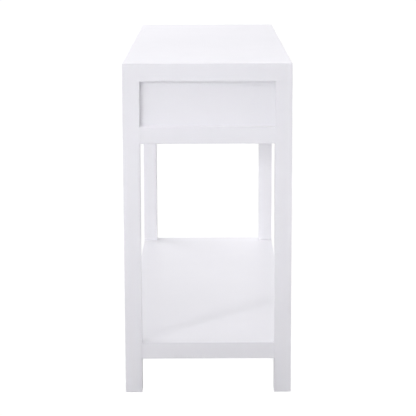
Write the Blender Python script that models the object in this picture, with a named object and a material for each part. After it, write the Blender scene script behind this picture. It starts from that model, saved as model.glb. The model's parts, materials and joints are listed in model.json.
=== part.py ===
"""Console table with a lower shelf and two drawers, modelled piece by piece.

Metres, +Z up. The length runs along X and the drawers open towards -Y.
The origin is on the floor, under the middle of the table.
"""
import math

import bmesh
import bpy
from mathutils import Matrix, Vector

# Overall size
LENGTH = 1.280
DEPTH = 0.400
HEIGHT = 0.800

# Frame
SECTION = 0.040              # square section of the legs and rails
TOP_THICKNESS = 0.042
RAIL_TOP = 0.650             # top of the rails under the drawers
SHELF_TOP = 0.126
SHELF_THICKNESS = 0.040
GLIDE_HEIGHT = 0.002

# Drawer case
PANEL = 0.016                # case sides, divider and rear panel
REAR_SETBACK = 0.002         # rear panel behind the faces of the rear legs
CASE_INSET = 0.012           # outer faces of the case sides behind those of the legs
CASE_FOOT = 0.001            # case sides end this far above the rails' undersides
FLOOR_PANEL = 0.006          # thin panel that closes the case from below
FLOOR_DROP = 0.004           # its upper face below the rails' tops
GROOVE = 0.006

# Drawers
DRAWER_GAP = 0.002           # all round a closed drawer front
FRONT_THICKNESS = 0.018
BOARD = 0.012                # drawer sides, inner front and back
DRAWER_DEPTH = 0.300
DRAWER_LIFT = 0.007          # drawer sides above the rails' tops
DRAWER_HEIGHT = 0.072
BOTTOM_PANEL = 0.005
BOTTOM_LIFT = 0.007          # bottom panel above the lower edge of the drawer sides
SCOOP_RADIUS = 0.080         # finger scoop in the upper edge of a drawer front
SCOOP_DEPTH = 0.022
SCOOP_SIDES = 64

# Ball-bearing slides: depths are measured from the case wall towards the drawer
SLIDE_SPACE = 0.0127
SLIDE_LENGTH = 0.270
SLIDE_START = 0.003          # slide behind the front edge of a case side
SLIDE_STEEL = 0.0012
CHANNEL_HEIGHT = 0.035
CHANNEL_LIP = 0.0098
RUNNER_HEIGHT = 0.024
RUNNER_LIP = 0.0032
CAGE_STEEL = 0.0006
CAGE_HEIGHT = 0.0289
CAGE_BACK = 0.0019
CAGE_LIP = 0.0090
CAGE_LENGTH = 0.066
CAGE_START = 0.102           # cage behind the slide's front end with the drawer shut
BALL_RADIUS = 0.0018         # the cage's pockets take balls of this size
BALL_DEPTH = 0.0064
BALLS_IN_ROW = 4
BALL_SPACING = 0.015

# Loose tenons between the legs and what meets them
TENON_LENGTH = 0.030
TENON_WIDTH = 0.024
TENON_THICKNESS = 0.010
TENON_OFFSET = 0.003         # outwards from a leg's middle, so that two tenons clear each other

# Glides
GLIDE_RADIUS = 0.011
GLIDE_SIDES = 16
GLIDE_PIN_RADIUS = 0.0015
GLIDE_PIN_LENGTH = 0.015

FIT = 0.0003                 # gap between neighbouring pieces
HOLE_SIDES = 8
CUT_MARGIN = 0.001           # how far a cutter stands out of the face it cuts
SHARP_ANGLE = math.radians(40)
MERGE = 1e-6

# Planes that follow from the sizes above
END = LENGTH / 2
SIDE = DEPTH / 2
INNER_END = END - SECTION
INNER_SIDE = SIDE - SECTION
LEG_X = END - SECTION / 2
LEG_Y = SIDE - SECTION / 2
SLAB_BOTTOM = HEIGHT - TOP_THICKNESS
RAIL_BOTTOM = RAIL_TOP - SECTION
RAIL_Z = RAIL_TOP - SECTION / 2
SHELF_BOTTOM = SHELF_TOP - SHELF_THICKNESS
SHELF_Z = SHELF_TOP - SHELF_THICKNESS / 2
CASE_INNER = INNER_END - PANEL
FLOOR_TOP = RAIL_TOP - FLOOR_DROP
FLOOR_BOTTOM = FLOOR_TOP - FLOOR_PANEL
REAR_PANEL_BACK = SIDE - REAR_SETBACK
REAR_PANEL_FRONT = REAR_PANEL_BACK - PANEL
BACK_OF_FRONTS = -SIDE + FRONT_THICKNESS
BOX_FRONT = BACK_OF_FRONTS + FIT
BOX_BACK = BOX_FRONT + DRAWER_DEPTH
BOX_BOTTOM = RAIL_TOP + DRAWER_LIFT
BOX_TOP = BOX_BOTTOM + DRAWER_HEIGHT
BOTTOM_LOW = BOX_BOTTOM + BOTTOM_LIFT
BOTTOM_HIGH = BOTTOM_LOW + BOTTOM_PANEL
SLIDE_FRONT = -INNER_SIDE + SLIDE_START
SLIDE_BACK = SLIDE_FRONT + SLIDE_LENGTH
SLIDE_Z = (BOX_BOTTOM + BOX_TOP) / 2

ALONG_Y = Vector((0, 1, 0))
ALONG_Z = Vector((0, 0, 1))
LEFT_AND_RIGHT = (("left", -1), ("right", 1))
FRONT_AND_REAR = (("front", -1), ("rear", 1))

pieces = {}                  # object by name
cuts = {}                    # shapes to cut out of a piece, by the piece's name


def clear_scene():
    for obj in list(bpy.data.objects):
        bpy.data.objects.remove(obj, do_unlink=True)


def make_material(name, colour, roughness, metallic=0.0):
    material = bpy.data.materials.new(name)
    material.use_nodes = True
    shader = material.node_tree.nodes["Principled BSDF"]
    shader.inputs["Base Color"].default_value = (*colour, 1.0)
    shader.inputs["Roughness"].default_value = roughness
    shader.inputs["Metallic"].default_value = metallic
    material.diffuse_color = (*colour, 1.0)
    return material


# Shapes: each function returns a bmesh in world coordinates

def block(low, high):
    """A box between two opposite corners, given in any order."""
    low = Vector(low)
    high = Vector(high)
    size = Vector(abs(side) for side in high - low)
    bm = bmesh.new()
    bmesh.ops.create_cube(bm, size=1.0)
    placing = Matrix.Translation((low + high) / 2) @ Matrix.Diagonal((*size, 1.0))
    bmesh.ops.transform(bm, matrix=placing, verts=bm.verts)
    return bm


def extruded(outline, travel):
    """A closed flat outline of 3-D points, carried along a vector."""
    bm = bmesh.new()
    face = bm.faces.new([bm.verts.new(point) for point in outline])
    grown = bmesh.ops.extrude_face_region(bm, geom=[face])
    moved = [item for item in grown["geom"] if isinstance(item, bmesh.types.BMVert)]
    bmesh.ops.translate(bm, verts=moved, vec=travel)
    bmesh.ops.recalc_face_normals(bm, faces=bm.faces)
    return bm


def turned(start, direction, profile, sides):
    """A solid of revolution: the profile's points are (distance along the axis, radius)."""
    outline = list(profile)
    if outline[0][1] > 0:
        outline.insert(0, (outline[0][0], 0.0))
    if outline[-1][1] > 0:
        outline.append((outline[-1][0], 0.0))
    bm = bmesh.new()
    verts = [bm.verts.new((radius, 0.0, along)) for along, radius in outline]
    edges = [bm.edges.new(pair) for pair in zip(verts, verts[1:])]
    bmesh.ops.spin(bm, geom=verts + edges, cent=(0, 0, 0), axis=(0, 0, 1),
                   angle=math.tau, steps=sides, use_merge=True)
    bmesh.ops.remove_doubles(bm, verts=bm.verts, dist=MERGE)
    bmesh.ops.recalc_face_normals(bm, faces=bm.faces)
    turn = direction.to_track_quat("Z", "Y").to_matrix().to_4x4()
    bmesh.ops.transform(bm, matrix=Matrix.Translation(start) @ turn, verts=bm.verts)
    return bm


def channel(back, lip, height, steel, front, rear):
    """A C-shaped steel section along Y, its web at X = back and its flanges reaching X = lip."""
    web = back + math.copysign(steel, lip - back)
    top = SLIDE_Z + height / 2
    bottom = SLIDE_Z - height / 2
    section = [(back, top), (lip, top), (lip, top - steel), (web, top - steel),
               (web, bottom + steel), (lip, bottom + steel), (lip, bottom), (back, bottom)]
    return extruded([(x, front, z) for x, z in section], (0, rear - front, 0))


# Objects

def mesh_from(name, shapes, origin):
    """One mesh that holds every shape, measured from the origin."""
    bm = bmesh.new()
    for shape in shapes:
        carrier = bpy.data.meshes.new("carrier")
        shape.to_mesh(carrier)
        shape.free()
        bm.from_mesh(carrier)
        bpy.data.meshes.remove(carrier)
    bmesh.ops.translate(bm, verts=bm.verts, vec=-origin)
    mesh = bpy.data.meshes.new(name)
    bm.to_mesh(mesh)
    bm.free()
    return mesh


def middle_of(shapes):
    points = [vert.co for shape in shapes for vert in shape.verts]
    low = Vector(min(point[axis] for point in points) for axis in range(3))
    high = Vector(max(point[axis] for point in points) for axis in range(3))
    return (low + high) / 2


def add_piece(name, shapes, material, guide=None, smooth=False):
    """One named object with its origin at its middle, carried by a guide if it moves."""
    origin = middle_of(shapes)
    mesh = mesh_from(name, shapes, origin)
    mesh.materials.append(material)
    if smooth:
        mesh.shade_smooth()
        mesh.set_sharp_from_angle(angle=SHARP_ANGLE)
    obj = bpy.data.objects.new(name, mesh)
    bpy.context.collection.objects.link(obj)
    obj.location = origin
    if guide:
        obj.parent = guide
        obj.location = origin - guide.location
    pieces[name] = obj
    return obj


def add_guide(name, location):
    """An empty on a sliding joint's axis, which carries the pieces that slide."""
    guide = bpy.data.objects.new(name, None)
    guide.empty_display_size = SECTION
    bpy.context.collection.objects.link(guide)
    guide.location = location
    return guide


def cut_later(names, make_shape):
    """Keep a shape to be cut out of each named piece."""
    for name in names:
        cuts.setdefault(name, []).append(make_shape())


def make_cuts():
    """Give every piece that has cuts one cutter and one Boolean modifier."""
    bpy.context.view_layer.update()
    for name, shapes in cuts.items():
        piece = pieces[name]
        cutter = bpy.data.objects.new(f"{name}_cutter", mesh_from(name, shapes, Vector()))
        bpy.context.collection.objects.link(cutter)
        cutter.parent = piece
        cutter.matrix_parent_inverse = piece.matrix_world.inverted()
        cutter.hide_render = True
        cutter.display_type = "WIRE"
        cutter.hide_set(True)
        boolean = piece.modifiers.new("Cuts", "BOOLEAN")
        boolean.operation = "DIFFERENCE"
        boolean.solver = "EXACT"
        boolean.object = cutter


# Frame

def build_frame(lacquer, beech, nylon):
    add_piece("top_slab", [block((-END, -SIDE, SLAB_BOTTOM), (END, SIDE, HEIGHT))], lacquer)
    add_piece("shelf", [shelf_shape()], lacquer)
    for row, y_sign in FRONT_AND_REAR:
        low = (-INNER_END + FIT, y_sign * INNER_SIDE, RAIL_BOTTOM)
        high = (INNER_END - FIT, y_sign * SIDE, RAIL_TOP)
        add_piece(f"{row}_rail", [block(low, high)], lacquer)
    for end, x_sign in LEFT_AND_RIGHT:
        low = (x_sign * INNER_END, -INNER_SIDE + FIT, RAIL_BOTTOM)
        high = (x_sign * END, INNER_SIDE - FIT, RAIL_TOP)
        add_piece(f"end_rail_{end}", [block(low, high)], lacquer)
        for row, y_sign in FRONT_AND_REAR:
            low = (x_sign * INNER_END, y_sign * INNER_SIDE, GLIDE_HEIGHT + FIT)
            high = (x_sign * END, y_sign * SIDE, SLAB_BOTTOM - FIT)
            add_piece(f"leg_{row}_{end}", [block(low, high)], lacquer)
            build_glide(f"{row}_{end}", x_sign, y_sign, nylon)
            build_tenons(row, end, x_sign, y_sign, beech)


def shelf_shape():
    """A full-size slab with a square notch round each leg."""
    notch_x = INNER_END - FIT
    notch_y = INNER_SIDE - FIT
    corner = [(notch_x, SIDE), (notch_x, notch_y), (END, notch_y)]
    outline = corner + [(x, -y) for x, y in reversed(corner)]
    outline += [(-x, -y) for x, y in corner] + [(-x, y) for x, y in reversed(corner)]
    return extruded([(x, y, SHELF_BOTTOM) for x, y in outline], (0, 0, SHELF_THICKNESS))


def build_glide(place, x_sign, y_sign, nylon):
    """A round nylon glide, held in the foot of a leg by its own pin."""
    foot = Vector((x_sign * LEG_X, y_sign * LEG_Y, 0))
    pin_end = GLIDE_HEIGHT + GLIDE_PIN_LENGTH
    profile = [(0, GLIDE_RADIUS), (GLIDE_HEIGHT, GLIDE_RADIUS),
               (GLIDE_HEIGHT, GLIDE_PIN_RADIUS), (pin_end, GLIDE_PIN_RADIUS)]
    hole = [(0, GLIDE_PIN_RADIUS + FIT), (pin_end + FIT, GLIDE_PIN_RADIUS + FIT)]
    add_piece(f"glide_{place}", [turned(foot, ALONG_Z, profile, GLIDE_SIDES)], nylon, smooth=True)
    cut_later([f"leg_{place}"], lambda: turned(foot, ALONG_Z, hole, GLIDE_SIDES))


def build_tenons(row, end, x_sign, y_sign, beech):
    """The loose tenons of one leg: into the slab, the end rail, the long rail and the shelf."""
    leg = f"leg_{row}_{end}"
    offset_x = x_sign * (LEG_X + TENON_OFFSET)
    offset_y = y_sign * (LEG_Y + TENON_OFFSET)
    joint_x = x_sign * INNER_END
    joint_y = y_sign * INNER_SIDE
    upright = (TENON_THICKNESS, TENON_WIDTH, TENON_LENGTH)
    across = (TENON_THICKNESS, TENON_LENGTH, TENON_WIDTH)
    along = (TENON_LENGTH, TENON_THICKNESS, TENON_WIDTH)
    tenons = (
        (f"tenon_top_{row}_{end}", (x_sign * LEG_X, y_sign * LEG_Y, SLAB_BOTTOM), upright, "top_slab"),
        (f"tenon_end_rail_{row}_{end}", (offset_x, joint_y, RAIL_Z), across, f"end_rail_{end}"),
        (f"tenon_{row}_rail_{end}", (joint_x, offset_y, RAIL_Z), along, f"{row}_rail"),
        (f"tenon_shelf_{row}_{end}", (joint_x, offset_y, SHELF_Z), along, "shelf"),
    )
    for name, middle, size, neighbour in tenons:
        middle = Vector(middle)
        half = Vector(size) / 2
        room = half + Vector((FIT, FIT, FIT))
        add_piece(name, [block(middle - half, middle + half)], beech)
        cut_later([leg, neighbour], lambda: block(middle - room, middle + room))


# Drawer case

def case_side(x_sign):
    """A thick board between the legs, rebated over the end rail and running down behind it."""
    wall = x_sign * (INNER_END - FIT)
    outer = x_sign * (END - CASE_INSET)
    inner = x_sign * CASE_INNER
    front = -INNER_SIDE + FIT
    rear = REAR_PANEL_FRONT - FIT
    foot = RAIL_BOTTOM + CASE_FOOT
    step = RAIL_TOP + FIT
    top = SLAB_BOTTOM - FIT
    outline = [(wall, foot), (inner, foot), (inner, top), (outer, top), (outer, step), (wall, step)]
    return extruded([(x, front, z) for x, z in outline], (0, rear - front, 0))


def rear_corner(x_sign):
    """What the rear leg and the rear rail take from a case side, which meets the rear panel."""
    wall = x_sign * (INNER_END - FIT)
    outside = x_sign * END
    inside = x_sign * (CASE_INNER - CUT_MARGIN)
    front = INNER_SIDE - FIT
    rear = REAR_PANEL_FRONT + CUT_MARGIN
    step = RAIL_TOP + FIT
    top = SLAB_BOTTOM + CUT_MARGIN
    outline = [(outside, RAIL_BOTTOM), (inside, RAIL_BOTTOM), (inside, step),
               (wall, step), (wall, top), (outside, top)]
    return extruded([(x, front, z) for x, z in outline], (0, rear - front, 0))


def build_case(lacquer, board):
    low = (-INNER_END + FIT, REAR_PANEL_FRONT, RAIL_TOP + FIT)
    high = (INNER_END - FIT, REAR_PANEL_BACK, SLAB_BOTTOM - FIT)
    add_piece("rear_panel", [block(low, high)], lacquer)
    low = (-PANEL / 2, BACK_OF_FRONTS + DRAWER_GAP, RAIL_TOP + FIT)
    high = (PANEL / 2, REAR_PANEL_FRONT - FIT, SLAB_BOTTOM - FIT)
    add_piece("divider", [block(low, high)], board)
    for end, x_sign in LEFT_AND_RIGHT:
        add_piece(f"case_side_{end}", [case_side(x_sign)], lacquer)
        cut_later([f"case_side_{end}"], lambda: rear_corner(x_sign))
    reach = INNER_SIDE + GROOVE
    low = (-CASE_INNER + FIT, -reach + FIT, FLOOR_BOTTOM)
    high = (CASE_INNER - FIT, reach - FIT, FLOOR_TOP)
    add_piece("case_floor", [block(low, high)], board)
    for row, y_sign in FRONT_AND_REAR:
        low = (-CASE_INNER, y_sign * (INNER_SIDE - CUT_MARGIN), FLOOR_BOTTOM - FIT)
        high = (CASE_INNER, y_sign * reach, FLOOR_TOP + FIT)
        cut_later([f"{row}_rail"], lambda: block(low, high))


# Drawers

def build_drawer(name, wall_left, wall_right, looks):
    """One drawer on its slides, between two case walls given by their X."""
    guide = add_guide(f"{name}_guide", Vector(((wall_left + wall_right) / 2, BOX_FRONT, SLIDE_Z)))
    build_drawer_front(name, guide, looks["lacquer"])
    build_drawer_box(name, wall_left + SLIDE_SPACE, wall_right - SLIDE_SPACE, guide, looks["board"])
    build_slides(name, wall_left, wall_right, guide, looks["steel"])


def build_drawer_front(name, guide, lacquer):
    """A front set flush between the legs, with a scoop for the fingers in its upper edge."""
    inner_edge = math.copysign(DRAWER_GAP / 2, guide.location.x)
    outer_edge = math.copysign(INNER_END - DRAWER_GAP, guide.location.x)
    top = SLAB_BOTTOM - DRAWER_GAP
    low = (inner_edge, -SIDE, RAIL_TOP + DRAWER_GAP)
    high = (outer_edge, BACK_OF_FRONTS, top)
    add_piece(f"{name}_front", [block(low, high)], lacquer, guide)
    scoop_start = Vector(((inner_edge + outer_edge) / 2, -SIDE - CUT_MARGIN,
                          top - SCOOP_DEPTH + SCOOP_RADIUS))
    scoop = [(0, SCOOP_RADIUS), (FRONT_THICKNESS + 2 * CUT_MARGIN, SCOOP_RADIUS)]
    cut_later([f"{name}_front"], lambda: turned(scoop_start, ALONG_Y, scoop, SCOOP_SIDES))


def build_drawer_box(name, left, right, guide, board):
    """Two sides, an inner front and a back round a thin bottom that lies in grooves."""
    inner_left = left + BOARD
    inner_right = right - BOARD
    front_back = BOX_FRONT + BOARD
    panels = {
        "left_side": ((left, BOX_FRONT, BOX_BOTTOM), (inner_left, BOX_BACK, BOX_TOP)),
        "right_side": ((inner_right, BOX_FRONT, BOX_BOTTOM), (right, BOX_BACK, BOX_TOP)),
        "inner_front": ((inner_left + FIT, BOX_FRONT, BOX_BOTTOM),
                        (inner_right - FIT, front_back, BOX_TOP)),
        "back": ((inner_left + FIT, BOX_BACK - BOARD, BOTTOM_HIGH + FIT),
                 (inner_right - FIT, BOX_BACK, BOX_TOP)),
        "bottom": ((inner_left - GROOVE + FIT, front_back - GROOVE + FIT, BOTTOM_LOW),
                   (inner_right + GROOVE - FIT, BOX_BACK, BOTTOM_HIGH)),
    }
    for panel, (low, high) in panels.items():
        add_piece(f"{name}_{panel}", [block(low, high)], board, guide)
    groove_low = (inner_left - GROOVE, front_back - GROOVE, BOTTOM_LOW - FIT)
    groove_high = (inner_right + GROOVE, BOX_BACK + CUT_MARGIN, BOTTOM_HIGH + FIT)
    grooved = [f"{name}_left_side", f"{name}_right_side", f"{name}_inner_front"]
    cut_later(grooved, lambda: block(groove_low, groove_high))


def build_slides(name, wall_left, wall_right, guide, steel):
    """On each side a channel on the case wall, a runner on the drawer and a ball cage between."""
    cage_front = SLIDE_FRONT + CAGE_START
    cage_back = cage_front + CAGE_LENGTH
    cage_middle = (cage_front + cage_back) / 2
    cage_guide = add_guide(f"{name}_cage_guide", Vector((guide.location.x, cage_middle, SLIDE_Z)))
    for side, wall, inward in (("left", wall_left, 1), ("right", wall_right, -1)):
        fixed = channel(wall + inward * FIT, wall + inward * CHANNEL_LIP,
                        CHANNEL_HEIGHT, SLIDE_STEEL, SLIDE_FRONT, SLIDE_BACK)
        moving = channel(wall + inward * (SLIDE_SPACE - FIT), wall + inward * RUNNER_LIP,
                         RUNNER_HEIGHT, SLIDE_STEEL, SLIDE_FRONT, SLIDE_BACK)
        cage = channel(wall + inward * CAGE_BACK, wall + inward * CAGE_LIP,
                       CAGE_HEIGHT, CAGE_STEEL, cage_front, cage_back)
        add_piece(f"{name}_{side}_channel", [fixed], steel)
        add_piece(f"{name}_{side}_runner", [moving], steel, guide)
        add_piece(f"{name}_{side}_cage", [cage], steel, cage_guide)
        for step in range(BALLS_IN_ROW):
            y = cage_middle + (step - (BALLS_IN_ROW - 1) / 2) * BALL_SPACING
            start = Vector((wall + inward * BALL_DEPTH, y, SLIDE_Z - CAGE_HEIGHT))
            pockets = [(0, BALL_RADIUS + FIT), (2 * CAGE_HEIGHT, BALL_RADIUS + FIT)]
            cut_later([f"{name}_{side}_cage"],
                      lambda: turned(start, ALONG_Z, pockets, HOLE_SIDES))


def main():
    clear_scene()
    looks = {
        "lacquer": make_material("white_lacquer", (0.82, 0.82, 0.84), 0.35),
        "board": make_material("white_board", (0.80, 0.80, 0.79), 0.50),
        "beech": make_material("beech", (0.60, 0.42, 0.25), 0.70),
        "steel": make_material("zinc_plated_steel", (0.66, 0.67, 0.69), 0.35, 1.0),
        "nylon": make_material("nylon", (0.78, 0.78, 0.76), 0.45),
    }
    build_frame(looks["lacquer"], looks["beech"], looks["nylon"])
    build_case(looks["lacquer"], looks["board"])
    build_drawer("left_drawer", -CASE_INNER, -PANEL / 2, looks)
    build_drawer("right_drawer", PANEL / 2, CASE_INNER, looks)
    make_cuts()


main()
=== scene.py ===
"""White lacquered console table with two drawers: its looks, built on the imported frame.

Metres, +Z up. The camera looks along +X at the table's left end, so the rear (+Y) is at the
left of the picture and the drawer fronts (-Y) are at its right.
"""
import json
import math

import bmesh
import bpy
from mathutils import Matrix, Vector


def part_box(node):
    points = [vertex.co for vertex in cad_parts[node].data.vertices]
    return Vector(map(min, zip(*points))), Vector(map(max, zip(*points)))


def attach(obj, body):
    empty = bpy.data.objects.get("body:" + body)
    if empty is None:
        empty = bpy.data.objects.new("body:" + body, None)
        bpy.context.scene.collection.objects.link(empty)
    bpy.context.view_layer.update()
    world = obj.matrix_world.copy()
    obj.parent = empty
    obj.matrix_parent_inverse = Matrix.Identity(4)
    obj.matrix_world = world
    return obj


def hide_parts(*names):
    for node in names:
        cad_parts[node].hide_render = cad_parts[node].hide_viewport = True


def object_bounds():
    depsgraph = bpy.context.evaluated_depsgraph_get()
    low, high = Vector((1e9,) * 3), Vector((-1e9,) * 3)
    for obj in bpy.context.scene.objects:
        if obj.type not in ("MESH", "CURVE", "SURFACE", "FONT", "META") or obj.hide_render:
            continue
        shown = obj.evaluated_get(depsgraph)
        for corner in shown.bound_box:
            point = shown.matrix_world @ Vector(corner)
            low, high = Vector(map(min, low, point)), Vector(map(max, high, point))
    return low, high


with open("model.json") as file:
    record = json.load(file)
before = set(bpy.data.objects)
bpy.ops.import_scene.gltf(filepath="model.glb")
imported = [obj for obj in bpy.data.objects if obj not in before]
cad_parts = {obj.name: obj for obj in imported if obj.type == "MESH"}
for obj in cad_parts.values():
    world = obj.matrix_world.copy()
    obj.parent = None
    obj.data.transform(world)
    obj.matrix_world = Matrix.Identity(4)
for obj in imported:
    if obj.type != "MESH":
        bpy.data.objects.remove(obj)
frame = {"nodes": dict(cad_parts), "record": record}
cad_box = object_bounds()

# Camera
CAMERA_BACK = 3.857          # from the near end of the table
CAMERA_SIDE = -0.0016        # from the table's middle line
CAMERA_HEIGHT = 1.1632
CAMERA_PITCH = math.radians(10.391)
CAMERA_ROLL = math.radians(0.177)
CAMERA_YAW = math.radians(0.012)
CAMERA_LENS = 142.72         # in millimetres, as the sensor's width
CAMERA_SENSOR = 36.0
CAMERA_REACH = 200.0

# Eased edges
SLAB_RADIUS = 0.0014
FRAME_RADIUS = 0.0016
SHELF_RADIUS = 0.0008
LEG_RADIUS = 0.0006
BOARD_RADIUS = 0.0006
FITTED_RADIUS = 0.0002
FITTED_GROWTH = 0.00027      # closes the CAD's gap beside a piece to a hairline
EDGE_STEPS = 4
SQUARE = 1.0                 # the least turn, in radians, at an edge that is rounded
SHORTEST_EASED = 0.035       # shorter edges belong to mortises and holes and stay sharp
SQUARE_END = 0.045           # with this limit a leg's or rail's end edges stay sharp too
MERGE = 1e-6
FLAT = math.radians(0.2)

# Smoothing: edges that turn by more degrees than this stay sharp
BOARD_SHARP = 30
FRONT_SHARP = 25
GLIDE_SHARP = 40
BALL_SHARP = 60
SCREW_SHARP = 35

# Round shapes
POLE_MERGE = 1e-7            # joins a turned shape's points on its axis
ARC_STEPS = 8                # in the half circle of a slot's end or of a glide's rim

# Finger scoop in the drawer fronts
SCOOP_RADIUS = 0.080
SCOOP_DEPTH = 0.022
SCOOP_STEPS = 56
SCOOP_CORNER = math.radians(20)    # the arc's own steps turn less and aren't eased

# Drawer bottoms
LOOKS_DOWN = -0.5            # a face whose normal's height is below this is bare hardboard

# Slides
SLIDE_STEEL = 0.0012
SLIDE_BEND = 0.0016
CAGE_STEEL = 0.0006
BEND_STEPS = 5
LIP_ROUNDING = 0.45          # in thicknesses of the steel
WEB_REACH = 0.0015           # cutters through a web reach this far on either side
SLOT_RADIUS = 0.0022
WEB_SLOTS = ((0.18, 0.004), (0.32, 0.012), (0.50, 0.004), (0.66, 0.012), (0.82, 0.004))
BALL_RADIUS = 0.0018
BALL_DEPTH = 0.0061          # ball centres from the case wall
BALLS_IN_ROW = 4
BALL_SPACING = 0.015
BALL_SIDES = 20
BALL_RINGS = 12
POCKET_RADIUS = 0.0020
POCKET_SIDES = 24

# Glides
GLIDE_HEIGHT = 0.002
GLIDE_RIM = 0.001
GLIDE_PIN_RADIUS = 0.0015
GLIDE_SIDES = 48

# Screws
SCREW_LENGTH = 0.016         # the part of a screw that is drawn; its end is inside the wood
SLIDE_SCREW_LENGTH = 0.0085
HEAD_RADIUS = 0.0033
HEAD_DEPTH = 0.0018
HEAD_RIM = 0.0002
SHANK_RADIUS = 0.0016
SCREW_SIDES = 32
THREAD_PITCH = 0.0012
THREAD_RISE = 0.3            # from groove to crest, in pitches
THREAD_CORE = 0.8            # the groove's radius, in shank radii
SCREW_POINT = 0.3            # the end's radius, in shank radii
SINK = 0.0002                # heads lie this far below the surface
CLEAR = 0.0001
RECESS_ARM = 0.0019          # cross recess: half length, half width and depth
RECESS_WIDTH = 0.00045
RECESS_DEPTH = 0.0014
RECESS_MOUTH = 1.3           # the recess's size above the head and at its bottom
RECESS_FLOOR = 0.45
CASE_SCREW_SPACING = 0.110
CASE_SCREW_RISE = 0.011
DIVIDER_SCREW_Y = 0.172
CORNER_SCREW_RISES = (0.018, 0.058)
FRONT_SCREW_SPACING = 0.140
SLIDE_SCREW_INSET = 0.020

# Colours and light
NOISE_RANGE = (0.3, 0.7)     # most of a noise's values lie between these
LACQUER_DEEP = (0.850, 0.846, 0.870)
LACQUER_PALE = (0.868, 0.864, 0.888)
FLOOR_COLOUR = (0.60, 0.60, 0.60)
FLOOR_ROUGHNESS = 0.9
FLOOR_WHITE = 1.05           # as the camera sees it
FLOOR_HALF = 60.0
LIGHT_COLOUR = (0.9775, 0.9710, 1.0)
SOFT_BOX = ((0, 0, 0.45), (1.8, 1.6), 180)     # target, size and spread
LIGHTS = (
    # name, place, target, size, spread in degrees, watts
    ("key", (-4.56, 3.35, 2.58), (0, 0, 0.4), (0.6, 0.3), 180, 44.02),
    ("back_left_middle", (1.738, 1.738, 2.171), *SOFT_BOX, 39.65),
    ("left_middle", (0, 2.457, 2.171), *SOFT_BOX, 26.85),
    ("front_right_low", (-1.485, -2.573, 0.868), *SOFT_BOX, 23.42),
    ("front_left_low", (-1.485, 2.573, 0.868), *SOFT_BOX, 18.88),
    ("right_low", (0, -2.971, 0.868), *SOFT_BOX, 12.22),
    ("front_right_high", (-0.75, -1.299, 3.048), *SOFT_BOX, 10.94),
    ("back_right_high", (1.061, -1.061, 3.048), *SOFT_BOX, 9.52),
    ("back_low", (2.971, 0, 0.868), *SOFT_BOX, 9.44),
    ("back_middle", (2.457, 0, 2.171), *SOFT_BOX, 9.15),
    ("front_high", (-1.5, 0, 3.048), *SOFT_BOX, 6.53),
    ("back_high", (1.5, 0, 3.048), *SOFT_BOX, 5.02),
    ("back_right_middle", (1.738, -1.738, 2.171), *SOFT_BOX, 4.61),
    ("key_narrow", (-4.56, 3.35, 2.58), (-0.64, 0, 1.4), (0.4, 0.3), 40, 2.42),
    ("front_right_close", (-2.826, -1.028, 1.544), (0, 0, 0.45), (1.6, 1.2), 180, 2.19),
    ("overhead_close", (-1, 0, 1.5), (-0.6, 0, 0.6), (0.6, 0.6), 180, 1.70),
    ("grid_wide", (-3.4, 0.9, 0.9), (-0.64, 0, 0.45), (1.6, 0.3), 36, 1.56),
    ("grid_right", (-3.2, -0.6, 1), (-0.64, 0, 0.55), (0.8, 0.5), 40, 0.05),
)

ENDS = ("left", "right")
ROWS = ("front", "rear")
DRAWERS = ("left_drawer", "right_drawer")
ALONG_X = Vector((1, 0, 0))
ALONG_Y = Vector((0, 1, 0))
ALONG_Z = Vector((0, 0, 1))

near_end, _, floor_level = cad_box[0]
pieces = []
finished = {}                # finished piece by the CAD node it stands for


# Shapes

def centre_of(node):
    """The middle of a CAD node's box."""
    low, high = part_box(node)
    return (low + high) / 2


def collected(shapes):
    """One bmesh that holds every given bmesh, which are freed."""
    whole = bmesh.new()
    for shape in shapes:
        carrier = bpy.data.meshes.new("carrier")
        shape.to_mesh(carrier)
        shape.free()
        whole.from_mesh(carrier)
        bpy.data.meshes.remove(carrier)
    return whole


def rounded(bm, edges, radius):
    bmesh.ops.bevel(bm, geom=edges, offset=radius, offset_type="OFFSET", segments=EDGE_STEPS,
                    profile=0.5, affect="EDGES", clamp_overlap=True)
    return bm


def outline_edges(bm, shortest):
    """The long convex edges of a shape; mortises and holes have only short or concave ones."""
    return [edge for edge in bm.edges
            if edge.is_convex and edge.calc_face_angle() > SQUARE and edge.calc_length() > shortest]


def cad_shape(node):
    """A CAD node's own shape, with whole faces in place of its triangles."""
    bm = bmesh.new()
    bm.from_mesh(frame["nodes"][node].data)
    bmesh.ops.remove_doubles(bm, verts=bm.verts, dist=MERGE)
    bmesh.ops.dissolve_limit(bm, angle_limit=FLAT, verts=bm.verts, edges=bm.edges)
    return bm


def eased(node, radius, shortest=SHORTEST_EASED):
    """A CAD node's shape, its grooves and mortises kept, with its long outer edges rounded."""
    bm = cad_shape(node)
    return rounded(bm, outline_edges(bm, shortest), radius)


def lengthened(bm, axis):
    """Moves both halves of a shape outwards along an axis, so that it meets its neighbours."""
    middle = sum(vert.co[axis] for vert in bm.verts) / len(bm.verts)
    for vert in bm.verts:
        vert.co[axis] += math.copysign(FITTED_GROWTH, vert.co[axis] - middle)
    return bm


def slab():
    """The top: its upper edges and corners are rounded, its lower edges only just eased."""
    bm = cad_shape("top_slab")
    just_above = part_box("top_slab")[0].z + MERGE
    upper = [edge for edge in outline_edges(bm, SHORTEST_EASED)
             if max(vert.co.z for vert in edge.verts) > just_above]
    rounded(bm, upper, SLAB_RADIUS)
    lower = [edge for edge in outline_edges(bm, 0)
             if max(vert.co.z for vert in edge.verts) < just_above]
    return rounded(bm, lower, FITTED_RADIUS)


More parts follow.
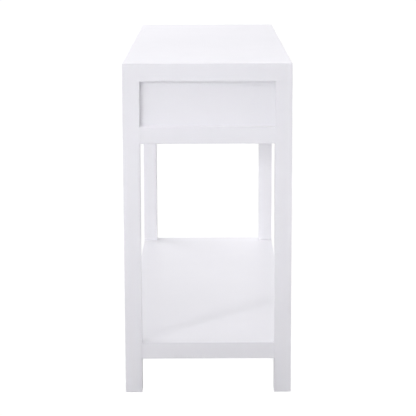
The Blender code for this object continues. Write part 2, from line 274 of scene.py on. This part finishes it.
def shelf():
    """The shelf: its outer edges are rounded, and its notches round the legs stay square."""
    bm = cad_shape("shelf")
    low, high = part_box("shelf")
    outer = []
    for edge in outline_edges(bm, SHORTEST_EASED):
        ends = [vert.co for vert in edge.verts]
        level = abs(ends[0].z - ends[1].z) < MERGE
        at_rim = any(max(abs(end[axis] - limit[axis]) for end in ends) < MERGE
                     for axis in (0, 1) for limit in (low, high))
        if level and at_rim:
            outer.append(edge)
    return rounded(bm, outer, SHELF_RADIUS)


def leg(node):
    """A leg with lightly eased corners, raised to meet the slab."""
    bm = eased(node, LEG_RADIUS, SQUARE_END)
    top = max(vert.co.z for vert in bm.verts)
    for vert in bm.verts:
        if vert.co.z > top - MERGE:
            vert.co.z += FITTED_GROWTH
    return bm


def fitted(node):
    """A board that fills its opening: hardly eased, and grown along Y and Z to its neighbours."""
    bm = eased(node, FITTED_RADIUS)
    return lengthened(lengthened(bm, 1), 2)


def prism(outline, travel):
    """A closed flat outline of 3-D points, carried along a vector."""
    bm = bmesh.new()
    face = bm.faces.new([bm.verts.new(point) for point in outline])
    grown = bmesh.ops.extrude_face_region(bm, geom=[face])
    moved = [item for item in grown["geom"] if isinstance(item, bmesh.types.BMVert)]
    bmesh.ops.translate(bm, verts=moved, vec=travel)
    bmesh.ops.recalc_face_normals(bm, faces=bm.faces)
    return bm


def turned(profile, sides):
    """A solid of revolution round Z: the profile's points are (height, radius)."""
    outline = list(profile)
    if outline[0][1] > 0:
        outline.insert(0, (outline[0][0], 0.0))
    if outline[-1][1] > 0:
        outline.append((outline[-1][0], 0.0))
    bm = bmesh.new()
    verts = [bm.verts.new((radius, 0.0, height)) for height, radius in outline]
    edges = [bm.edges.new(pair) for pair in zip(verts, verts[1:])]
    bmesh.ops.spin(bm, geom=verts + edges, cent=(0, 0, 0), axis=(0, 0, 1),
                   angle=math.tau, steps=sides, use_merge=True)
    bmesh.ops.remove_doubles(bm, verts=bm.verts, dist=POLE_MERGE)
    bmesh.ops.recalc_face_normals(bm, faces=bm.faces)
    return bm


def half_circle(steps):
    """The angles of a half circle's points."""
    return [math.pi * step / steps for step in range(steps + 1)]


def placed(bm, at, direction):
    """Turns a shape from +Z to a direction and moves it to a point."""
    turn = direction.to_track_quat("Z", "Y").to_matrix().to_4x4()
    bmesh.ops.transform(bm, matrix=Matrix.Translation(at) @ turn, verts=bm.verts)
    return bm


# Pieces

def new_object(name, bm, sharp=BOARD_SHARP):
    mesh = bpy.data.meshes.new(name)
    bm.to_mesh(mesh)
    bm.free()
    mesh.shade_smooth()
    mesh.set_sharp_from_angle(angle=math.radians(sharp))
    obj = bpy.data.objects.new(name, mesh)
    bpy.context.collection.objects.link(obj)
    return obj


def body_with(node):
    """The moving body that a CAD node belongs to."""
    return next(body for body, nodes in frame["record"]["behaviour"]["bodies"].items()
                if node in nodes)


def add_piece(name, bm, look, body, stands_for=(), sharp=BOARD_SHARP):
    """A finished piece that rides a body, takes a look and may stand for CAD nodes."""
    piece = new_object(name, bm, sharp)
    material, slot = look
    piece.data.materials.append(material)
    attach(piece, body)
    if stands_for:
        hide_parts(*stands_for)
    pieces.append(piece)
    return piece


def finish_node(node, bm, look, sharp=BOARD_SHARP):
    """A finished piece in place of one CAD node."""
    piece = add_piece(f"{node}_finished", bm, look, body_with(node), [node], sharp)
    finished[node] = piece
    return piece


def settle(piece):
    """Turns what a piece's modifiers make of it into its own mesh."""
    graph = bpy.context.evaluated_depsgraph_get()
    mesh = bpy.data.meshes.new_from_object(piece.evaluated_get(graph), depsgraph=graph)
    piece.modifiers.clear()
    piece.data = mesh


def carve(piece, cutter_bm):
    """Cuts a shape out of a piece for good."""
    cutter = new_object(f"{piece.name}_cutter", cutter_bm)
    boolean = piece.modifiers.new("Carve", "BOOLEAN")
    boolean.operation = "DIFFERENCE"
    boolean.solver = "EXACT"
    boolean.object = cutter
    settle(piece)
    bpy.data.objects.remove(cutter, do_unlink=True)


def weigh_normals(piece):
    """Lets large faces rule the shading, so that they look flat beside their eased edges."""
    weighted = piece.modifiers.new("Weigh", "WEIGHTED_NORMAL")
    weighted.keep_sharp = True
    settle(piece)


# Materials

def start_material(name):
    material = bpy.data.materials.new(name)
    material.use_nodes = True
    tree = material.node_tree
    return material, tree, tree.nodes["Principled BSDF"]


def noise(tree, scale, detail=3.0, stretch=(1, 1, 1)):
    """A noise's value over the object's own metres, stretched along its axes."""
    coords = tree.nodes.new("ShaderNodeTexCoord")
    mapping = tree.nodes.new("ShaderNodeMapping")
    mapping.inputs["Scale"].default_value = stretch
    texture = tree.nodes.new("ShaderNodeTexNoise")
    texture.inputs["Scale"].default_value = scale
    texture.inputs["Detail"].default_value = detail
    tree.links.new(coords.outputs["Object"], mapping.inputs["Vector"])
    tree.links.new(mapping.outputs["Vector"], texture.inputs["Vector"])
    return texture.outputs["Fac"]


def spread(tree, value, low, high):
    """Maps a noise's middle range onto low to high."""
    node = tree.nodes.new("ShaderNodeMapRange")
    node.inputs["From Min"].default_value, node.inputs["From Max"].default_value = NOISE_RANGE
    node.inputs["To Min"].default_value = low
    node.inputs["To Max"].default_value = high
    tree.links.new(value, node.inputs["Value"])
    return node.outputs["Result"]


def tint(tree, shader, value, first, second):
    """Gives a shader a colour between two others, by a noise's middle range."""
    mix = tree.nodes.new("ShaderNodeMix")
    mix.data_type = "RGBA"
    mix.inputs["A"].default_value = (*first, 1.0)
    mix.inputs["B"].default_value = (*second, 1.0)
    tree.links.new(spread(tree, value, 0.0, 1.0), mix.inputs["Factor"])
    tree.links.new(mix.outputs["Result"], shader.inputs["Base Color"])


def roughen(tree, shader, value, low, high):
    """Gives a shader a roughness from low to high, by a noise's middle range."""
    tree.links.new(spread(tree, value, low, high), shader.inputs["Roughness"])


def emboss(tree, shader, value, distance, strength):
    """Raises a shader's surface by a noise, over a distance in metres."""
    bump = tree.nodes.new("ShaderNodeBump")
    bump.inputs["Distance"].default_value = distance
    bump.inputs["Strength"].default_value = strength
    tree.links.new(value, bump.inputs["Height"])
    tree.links.new(bump.outputs["Normal"], shader.inputs["Normal"])


def lacquer():
    """Sprayed satin lacquer: a clean cool white with orange peel and slow waves in its gloss."""
    material, tree, shader = start_material("white_lacquer")
    tint(tree, shader, noise(tree, 2.5), LACQUER_DEEP, LACQUER_PALE)
    roughen(tree, shader, noise(tree, 14.0), 0.29, 0.36)
    emboss(tree, shader, noise(tree, 420.0, 2.0), 0.00003, 0.25)
    return material


def melamine():
    """Melamine-faced board: a warmer matt white with a fine pearl grain."""
    material, tree, shader = start_material("white_board")
    tint(tree, shader, noise(tree, 60.0), (0.78, 0.78, 0.765), (0.82, 0.82, 0.81))
    roughen(tree, shader, noise(tree, 900.0, 1.0), 0.42, 0.55)
    emboss(tree, shader, noise(tree, 1500.0, 1.0), 0.00005, 0.6)
    return material


def hardboard():
    """The bare, felted side of thin hardboard."""
    material, tree, shader = start_material("hardboard_back")
    fibres = noise(tree, 260.0, 6.0, (1, 3, 1))
    tint(tree, shader, fibres, (0.25, 0.145, 0.075), (0.40, 0.255, 0.14))
    shader.inputs["Roughness"].default_value = 0.85
    emboss(tree, shader, noise(tree, 700.0, 4.0), 0.0002, 0.8)
    return material


def beech():
    """Planed beech with short flecks along its grain."""
    material, tree, shader = start_material("beech")
    flecks = noise(tree, 500.0, 4.0, (1, 1, 0.06))
    tint(tree, shader, flecks, (0.50, 0.33, 0.19), (0.66, 0.47, 0.29))
    shader.inputs["Roughness"].default_value = 0.65
    emboss(tree, shader, noise(tree, 900.0, 2.0, (1, 1, 0.08)), 0.0001, 0.5)
    return material


def zinc():
    """Rolled, zinc-plated steel: faint lines along the rolling and patches of duller plating."""
    material, tree, shader = start_material("zinc_plated_steel")
    tint(tree, shader, noise(tree, 90.0), (0.56, 0.57, 0.60), (0.72, 0.73, 0.74))
    shader.inputs["Metallic"].default_value = 1.0
    roughen(tree, shader, noise(tree, 160.0), 0.26, 0.44)
    emboss(tree, shader, noise(tree, 1800.0, 2.0, (1, 0.03, 1)), 0.00004, 0.5)
    return material


def bearing_steel():
    """Polished balls under a thin film of grease."""
    material, tree, shader = start_material("bearing_steel")
    tint(tree, shader, noise(tree, 300.0), (0.62, 0.61, 0.58), (0.74, 0.74, 0.74))
    shader.inputs["Metallic"].default_value = 1.0
    roughen(tree, shader, noise(tree, 500.0), 0.08, 0.22)
    return material


def nylon():
    """Moulded white nylon, slightly milky."""
    material, tree, shader = start_material("nylon")
    tint(tree, shader, noise(tree, 120.0), (0.74, 0.74, 0.715), (0.80, 0.80, 0.78))
    shader.inputs["Roughness"].default_value = 0.42
    emboss(tree, shader, noise(tree, 800.0, 2.0), 0.00006, 0.5)
    return material


# Frame and case

def build_frame(looks):
    """Slab, case, rails, legs and shelf in lacquer, and the boards inside the case."""
    finish_node("top_slab", slab(), looks["lacquer"])
    finish_node("rear_panel", fitted("rear_panel"), looks["lacquer"])
    for row in ROWS:
        rail = lengthened(eased(f"{row}_rail", FRAME_RADIUS, SQUARE_END), 0)
        finish_node(f"{row}_rail", rail, looks["lacquer"])
    for end in ENDS:
        rail = lengthened(eased(f"end_rail_{end}", FRAME_RADIUS, SQUARE_END), 1)
        finish_node(f"end_rail_{end}", rail, looks["lacquer"])
        finish_node(f"case_side_{end}", fitted(f"case_side_{end}"), looks["lacquer"])
        for row in ROWS:
            node = f"leg_{row}_{end}"
            finish_node(node, leg(node), looks["lacquer"])
    finish_node("shelf", shelf(), looks["lacquer"])
    for node in ("divider", "case_floor"):
        finish_node(node, eased(node, BOARD_RADIUS), looks["melamine"])


def dress_tenons(looks):
    """The loose tenons keep their CAD shape and are of bare beech."""
    for node, obj in frame["nodes"].items():
        if node.startswith("tenon"):
            obj.data.materials.clear()
            obj.data.materials.append(looks["beech"])


def glide(node):
    """A round glide with a domed rim, pinned into the foot."""
    low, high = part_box(node)
    radius = (high.x - low.x) / 2
    rim = [(GLIDE_HEIGHT / 2 - GLIDE_HEIGHT / 2 * math.cos(angle),
            radius - GLIDE_RIM + GLIDE_RIM * math.sin(angle)) for angle in half_circle(ARC_STEPS)]
    profile = [*rim, (GLIDE_HEIGHT, GLIDE_PIN_RADIUS), (high.z - low.z, GLIDE_PIN_RADIUS)]
    foot = Vector(((low.x + high.x) / 2, (low.y + high.y) / 2, low.z))
    return placed(turned(profile, GLIDE_SIDES), foot, ALONG_Z)


def build_glides(looks):
    for end in ENDS:
        for row in ROWS:
            node = f"glide_{row}_{end}"
            finish_node(node, glide(node), looks["nylon"], GLIDE_SHARP)


# Drawers

def scooped_front(node):
    """A drawer front with a round finger scoop in its upper edge, all edges eased."""
    low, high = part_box(node)
    middle = (low.x + high.x) / 2
    centre_z = high.z - SCOOP_DEPTH + SCOOP_RADIUS
    half_angle = math.acos((centre_z - high.z) / SCOOP_RADIUS)
    arc = [(middle + SCOOP_RADIUS * math.sin(angle), centre_z - SCOOP_RADIUS * math.cos(angle))
           for angle in (half_angle * (1 - 2 * step / SCOOP_STEPS)
                         for step in range(SCOOP_STEPS + 1))]
    outline = [(high.x, low.z), (high.x, high.z), *arc, (low.x, high.z), (low.x, low.z)]
    bm = prism([(x, low.y, z) for x, z in outline], (0, high.y - low.y, 0))
    edges = [edge for edge in bm.edges if edge.calc_face_angle() > SCOOP_CORNER]
    return rounded(bm, edges, FRAME_RADIUS)


def build_drawer(drawer, looks):
    """A drawer's front, box and bottom, which is bare hardboard below."""
    finish_node(f"{drawer}_front", scooped_front(f"{drawer}_front"), looks["lacquer"], FRONT_SHARP)
    for panel in ("inner_front", "back", "left_side", "right_side", "bottom"):
        node = f"{drawer}_{panel}"
        finish_node(node, eased(node, BOARD_RADIUS), looks["melamine"])
    bottom = finished[f"{drawer}_bottom"].data
    bottom.materials.append(looks["hardboard"])
    for face in bottom.polygons:
        face.material_index = 1 if face.normal.z < LOOKS_DOWN else 0


def filleted(corners):
    """A closed 2-D outline whose corners are given as (x, z, radius of the fillet)."""
    outline = []
    for before, here, after in zip(corners[-1:] + corners[:-1], corners, corners[1:] + corners[:1]):
        corner = Vector(here[:2])
        radius = here[2]
        back = (Vector(before[:2]) - corner).normalized()
        on = (Vector(after[:2]) - corner).normalized()
        half = back.angle(on) / 2
        centre = corner + (back + on).normalized() * radius / math.sin(half)
        first = corner + back * radius / math.tan(half) - centre
        sweep = first.angle_signed(corner + on * radius / math.tan(half) - centre)
        for step in range(BEND_STEPS + 1):
            turn = Matrix.Rotation(-sweep * step / BEND_STEPS, 2)
            outline.append(centre + turn @ first)
    return outline


def section_of(node, web_first, steel):
    """A C-shaped steel section with rounded bends, in the box of its CAD node."""
    low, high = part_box(node)
    back, lip = (low.x, high.x) if web_first else (high.x, low.x)
    web = back + math.copysign(steel, lip - back)
    bend = steel + SLIDE_BEND
    tip = steel * LIP_ROUNDING
    corners = [(back, high.z, bend), (lip, high.z, tip), (lip, high.z - steel, tip),
               (web, high.z - steel, SLIDE_BEND), (web, low.z + steel, SLIDE_BEND),
               (lip, low.z + steel, tip), (lip, low.z, tip), (back, low.z, bend)]
    return prism([(x, low.y, z) for x, z in filleted(corners)], (0, high.y - low.y, 0))


def slot_shape(x, y, z, length):
    """A cutter for an oblong slot through a web, along Y."""
    half = length / 2
    ends = ((half, -math.pi / 2), (-half, math.pi / 2))
    outline = [(x - WEB_REACH, y + shift + SLOT_RADIUS * math.cos(start + angle),
                z + SLOT_RADIUS * math.sin(start + angle))
               for shift, start in ends for angle in half_circle(ARC_STEPS)]
    return prism(outline, (2 * WEB_REACH, 0, 0))


def ball_rows(middle):
    """Where a cage's balls lie along Y."""
    return [middle + (step - (BALLS_IN_ROW - 1) / 2) * BALL_SPACING for step in range(BALLS_IN_ROW)]


def ball():
    """A ball whose poles lie exactly on its axis."""
    profile = [(-BALL_RADIUS * math.cos(angle), BALL_RADIUS * math.sin(angle))
               for angle in half_circle(BALL_RINGS)]
    profile[0] = (-BALL_RADIUS, 0.0)
    profile[-1] = (BALL_RADIUS, 0.0)
    return turned(profile, BALL_SIDES)


def pocket():
    """A cutter for a ball's hole in a cage's flange."""
    return turned([(-BALL_RADIUS, POCKET_RADIUS), (BALL_RADIUS, POCKET_RADIUS)], POCKET_SIDES)


def build_member(node, web_first, looks):
    """A slide's channel or runner, with slots through its web."""
    piece = finish_node(node, section_of(node, web_first, SLIDE_STEEL), looks["zinc"])
    low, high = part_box(node)
    web_x = low.x if web_first else high.x
    slots = [slot_shape(web_x, low.y + along * (high.y - low.y), centre_of(node).z, length)
             for along, length in WEB_SLOTS]
    carve(piece, collected(slots))


def build_cage(name, web_first, ball_x, looks):
    """A slide's cage, with a window through its web, and the balls in both of its flanges."""
    node = f"{name}_cage"
    piece = finish_node(node, section_of(node, web_first, CAGE_STEEL), looks["zinc"])
    low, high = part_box(node)
    middle = centre_of(node)
    centres = [Vector((ball_x, y, z)) for y in ball_rows(middle.y)
               for z in (low.z + CAGE_STEEL / 2, high.z - CAGE_STEEL / 2)]
    holes = [placed(pocket(), centre, ALONG_Z) for centre in centres]
    web_x = low.x if web_first else high.x
    holes.append(slot_shape(web_x, middle.y, middle.z, (high.y - low.y) / 2))
    carve(piece, collected(holes))
    balls = [placed(ball(), centre, ALONG_Z) for centre in centres]
    add_piece(f"{name}_balls", collected(balls), looks["bearing"], body_with(node),
              sharp=BALL_SHARP)


def build_slides(drawer, looks):
    """Channel, runner, cage and balls on both sides of a drawer."""
    for side in ENDS:
        on_left = side == "left"
        name = f"{drawer}_{side}"
        low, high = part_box(f"{name}_channel")
        ball_x = low.x + BALL_DEPTH if on_left else high.x - BALL_DEPTH
        build_member(f"{name}_channel", on_left, looks)
        build_member(f"{name}_runner", not on_left, looks)
        build_cage(name, on_left, ball_x, looks)


# Screws

def screw(length):
    """A countersunk wood screw with a coarse thread, pointing along +Z, its head still plain."""
    turns = int((length - HEAD_DEPTH) / THREAD_PITCH)
    profile = [(SINK, HEAD_RADIUS), (SINK + HEAD_RIM, HEAD_RADIUS), (HEAD_DEPTH, SHANK_RADIUS)]
    for turn in range(turns):
        z = HEAD_DEPTH + (turn + THREAD_RISE) * THREAD_PITCH
        profile += [(z, SHANK_RADIUS * THREAD_CORE), (z + THREAD_PITCH * THREAD_RISE, SHANK_RADIUS)]
    profile.append((length, SHANK_RADIUS * SCREW_POINT))
    return turned(profile, SCREW_SIDES)


def cross_recess():
    """A tapering cross that a driver fits, pointing along +Z from above a screw's head."""
    bm = bmesh.new()
    rings = []
    for z, scale in ((-SINK, RECESS_MOUTH), (SINK + RECESS_DEPTH, RECESS_FLOOR)):
        arm = RECESS_ARM * scale
        width = RECESS_WIDTH * scale
        quarter = [(arm, -width), (arm, width), (width, width)]
        ring = list(quarter)
        for _ in range(3):
            quarter = [(-y, x) for x, y in quarter]
            ring += quarter
        rings.append([bm.verts.new((x, y, z)) for x, y in ring])
    upper, lower = rings
    bm.faces.new(upper)
    bm.faces.new(lower)
    for step, corner in enumerate(upper):
        bm.faces.new((corner, upper[step - 1], lower[step - 1], lower[step]))
    bmesh.ops.recalc_face_normals(bm, faces=bm.faces)
    return bm


def screw_mesh(length):
    """The screw's finished mesh, with its recess cut."""
    piece = new_object("screw_pattern", screw(length), SCREW_SHARP)
    carve(piece, cross_recess())
    mesh = piece.data
    bpy.data.objects.remove(piece, do_unlink=True)
    return mesh


def add_screws(name, pattern, places, into, body, looks):
    """A group of screws at (point, direction) places, countersunk into the pieces they hold."""
    countersink = [(-SINK, HEAD_RADIUS + CLEAR), (SINK + HEAD_RIM, HEAD_RADIUS + CLEAR),
                   (HEAD_DEPTH + SINK, SHANK_RADIUS + CLEAR),
                   (HEAD_DEPTH * 2, SHANK_RADIUS + CLEAR)]
    shapes = []
    sinks = []
    for point, direction in places:
        shape = bmesh.new()
        shape.from_mesh(pattern)
        shapes.append(placed(shape, point, direction))
        sinks.append(placed(turned(countersink, SCREW_SIDES), point, direction))
    for piece in into:
        carve(piece, collected([shape.copy() for shape in sinks]))
    for sink in sinks:
        sink.free()
    add_piece(name, collected(shapes), looks["zinc"], body, sharp=SCREW_SHARP)


def build_frame_screws(pattern, looks):
    """Screws that hold the case sides to the end rails and the divider to the long rails."""
    places = []
    into = []
    for end in ENDS:
        outward = -1 if end == "left" else 1
        low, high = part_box(f"case_side_{end}")
        inner = high.x if end == "left" else low.x
        for step in (-1, 0, 1):
            point = Vector((inner, step * CASE_SCREW_SPACING, low.z + CASE_SCREW_RISE))
            places.append((point, ALONG_X * outward))
        into.append(finished[f"case_side_{end}"])
    add_screws("case_screws", pattern, places, into, "table", looks)
    places = []
    for row, side in (("front", -1), ("rear", 1)):
        low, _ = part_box(f"{row}_rail")
        places.append((Vector((0, side * DIVIDER_SCREW_Y, low.z)), ALONG_Z))
    into = [finished["front_rail"], finished["rear_rail"]]
    add_screws("divider_screws", pattern, places, into, "table", looks)


def build_drawer_screws(drawer, pattern, looks):
    """Corner, front, runner and channel screws of one drawer."""
    box_middle = centre_of(f"{drawer}_inner_front")
    corners = []
    runners = []
    channels = []
    for side in ENDS:
        inward = 1 if side == "left" else -1
        low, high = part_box(f"{drawer}_{side}_side")
        outer = low.x if side == "left" else high.x
        for panel in ("inner_front", "back"):
            for rise in CORNER_SCREW_RISES:
                point = Vector((outer, centre_of(f"{drawer}_{panel}").y, low.z + rise))
                corners.append((point, ALONG_X * inward))
        for part, places in (("channel", channels), ("runner", runners)):
            low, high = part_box(f"{drawer}_{side}_{part}")
            web_low = (part == "channel") == (side == "left")
            face = low.x + SLIDE_STEEL if web_low else high.x - SLIDE_STEEL
            direction = ALONG_X * (-inward if part == "channel" else inward)
            for y in (low.y + SLIDE_SCREW_INSET, high.y - SLIDE_SCREW_INSET):
                places.append((Vector((face, y, (low.z + high.z) / 2)), direction))
    sides = [finished[f"{drawer}_{side}_side"] for side in ENDS]
    add_screws(f"{drawer}_corner_screws", pattern, corners, sides, drawer, looks)
    add_screws(f"{drawer}_runner_screws", pattern, runners,
               [finished[f"{drawer}_{side}_runner"] for side in ENDS] + sides, drawer, looks)
    add_screws(f"{drawer}_channel_screws", pattern, channels,
               [finished[f"{drawer}_{side}_channel"] for side in ENDS], "table", looks)
    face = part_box(f"{drawer}_inner_front")[1].y
    fronts = [(Vector((box_middle.x + step * FRONT_SCREW_SPACING, face, box_middle.z)), -ALONG_Y)
              for step in (-1.5, -0.5, 0.5, 1.5)]
    add_screws(f"{drawer}_front_screws", pattern, fronts,
               [finished[f"{drawer}_inner_front"]], drawer, looks)


# Stage

def look_from(obj, place, target):
    """Puts a light at a place and points it at a target."""
    obj.location = place
    obj.rotation_euler = (Vector(target) - Vector(place)).to_track_quat("-Z", "Y").to_euler()


def add_camera():
    data = bpy.data.cameras.new("camera")
    data.lens = CAMERA_LENS
    data.sensor_width = CAMERA_SENSOR
    data.clip_end = CAMERA_REACH
    camera = bpy.data.objects.new("camera", data)
    bpy.context.collection.objects.link(camera)
    forward = Vector((math.cos(CAMERA_PITCH), 0, -math.sin(CAMERA_PITCH)))
    right = Vector((0, -1, 0))
    up = right.cross(forward)
    turn = Matrix((right, up, -forward)).transposed().to_4x4()
    roll = Matrix.Rotation(-CAMERA_ROLL, 4, "Z") @ Matrix.Rotation(CAMERA_YAW, 4, "Y")
    place = Vector((near_end - CAMERA_BACK, CAMERA_SIDE, CAMERA_HEIGHT))
    camera.matrix_world = Matrix.Translation(place) @ turn @ roll
    bpy.context.scene.camera = camera


def add_light(name, place, target, size, spread_angle, power):
    data = bpy.data.lights.new(name, "AREA")
    data.shape = "RECTANGLE"
    data.size, data.size_y = size
    data.spread = math.radians(spread_angle)
    data.energy = power
    data.color = LIGHT_COLOUR
    light = bpy.data.objects.new(name, data)
    bpy.context.collection.objects.link(light)
    look_from(light, place, target)
    light.visible_camera = False


def add_floor():
    """A pale floor that the camera sees as overexposed white, as a lit studio sweep comes out."""
    material, tree, shader = start_material("studio_floor")
    shader.inputs["Base Color"].default_value = (*FLOOR_COLOUR, 1.0)
    shader.inputs["Roughness"].default_value = FLOOR_ROUGHNESS
    white = tree.nodes.new("ShaderNodeEmission")
    white.inputs["Strength"].default_value = FLOOR_WHITE
    rays = tree.nodes.new("ShaderNodeLightPath")
    mixed = tree.nodes.new("ShaderNodeMixShader")
    output = next(node for node in tree.nodes if node.type == "OUTPUT_MATERIAL")
    tree.links.new(rays.outputs["Is Camera Ray"], mixed.inputs["Fac"])
    tree.links.new(shader.outputs["BSDF"], mixed.inputs[1])
    tree.links.new(white.outputs["Emission"], mixed.inputs[2])
    tree.links.new(mixed.outputs["Shader"], output.inputs["Surface"])
    bm = bmesh.new()
    bmesh.ops.create_grid(bm, x_segments=1, y_segments=1, size=FLOOR_HALF)
    bmesh.ops.translate(bm, verts=bm.verts, vec=(0, 0, floor_level))
    floor = new_object("studio_floor", bm)
    floor.data.materials.append(material)


def add_world():
    """A backdrop that is white to the camera and gives no light of its own."""
    world = bpy.data.worlds.new("studio")
    world.use_nodes = True
    tree = world.node_tree
    background = tree.nodes["Background"]
    background.inputs["Color"].default_value = (1.0, 1.0, 1.0, 1.0)
    rays = tree.nodes.new("ShaderNodeLightPath")
    tree.links.new(rays.outputs["Is Camera Ray"], background.inputs["Strength"])
    bpy.context.scene.world = world


def make_looks():
    """Every material. Those that add_piece gives to a piece come with their CAD slot."""
    return {"lacquer": (lacquer(), "white_lacquer"), "melamine": (melamine(), "white_board"),
            "hardboard": hardboard(), "beech": beech(), "zinc": (zinc(), "zinc_plated_steel"),
            "bearing": (bearing_steel(), "zinc_plated_steel"), "nylon": (nylon(), "nylon")}


def main():
    looks = make_looks()
    build_frame(looks)
    for drawer in DRAWERS:
        build_drawer(drawer, looks)
        build_slides(drawer, looks)
    pattern = screw_mesh(SCREW_LENGTH)
    slide_pattern = screw_mesh(SLIDE_SCREW_LENGTH)
    build_frame_screws(pattern, looks)
    for drawer in DRAWERS:
        build_drawer_screws(drawer, slide_pattern, looks)
    build_glides(looks)
    for piece in pieces:
        weigh_normals(piece)
    dress_tenons(looks)
    add_camera()
    add_world()
    add_floor()
    for light in LIGHTS:
        add_light(*light)
    bpy.context.scene.view_settings.view_transform = "Standard"


main()
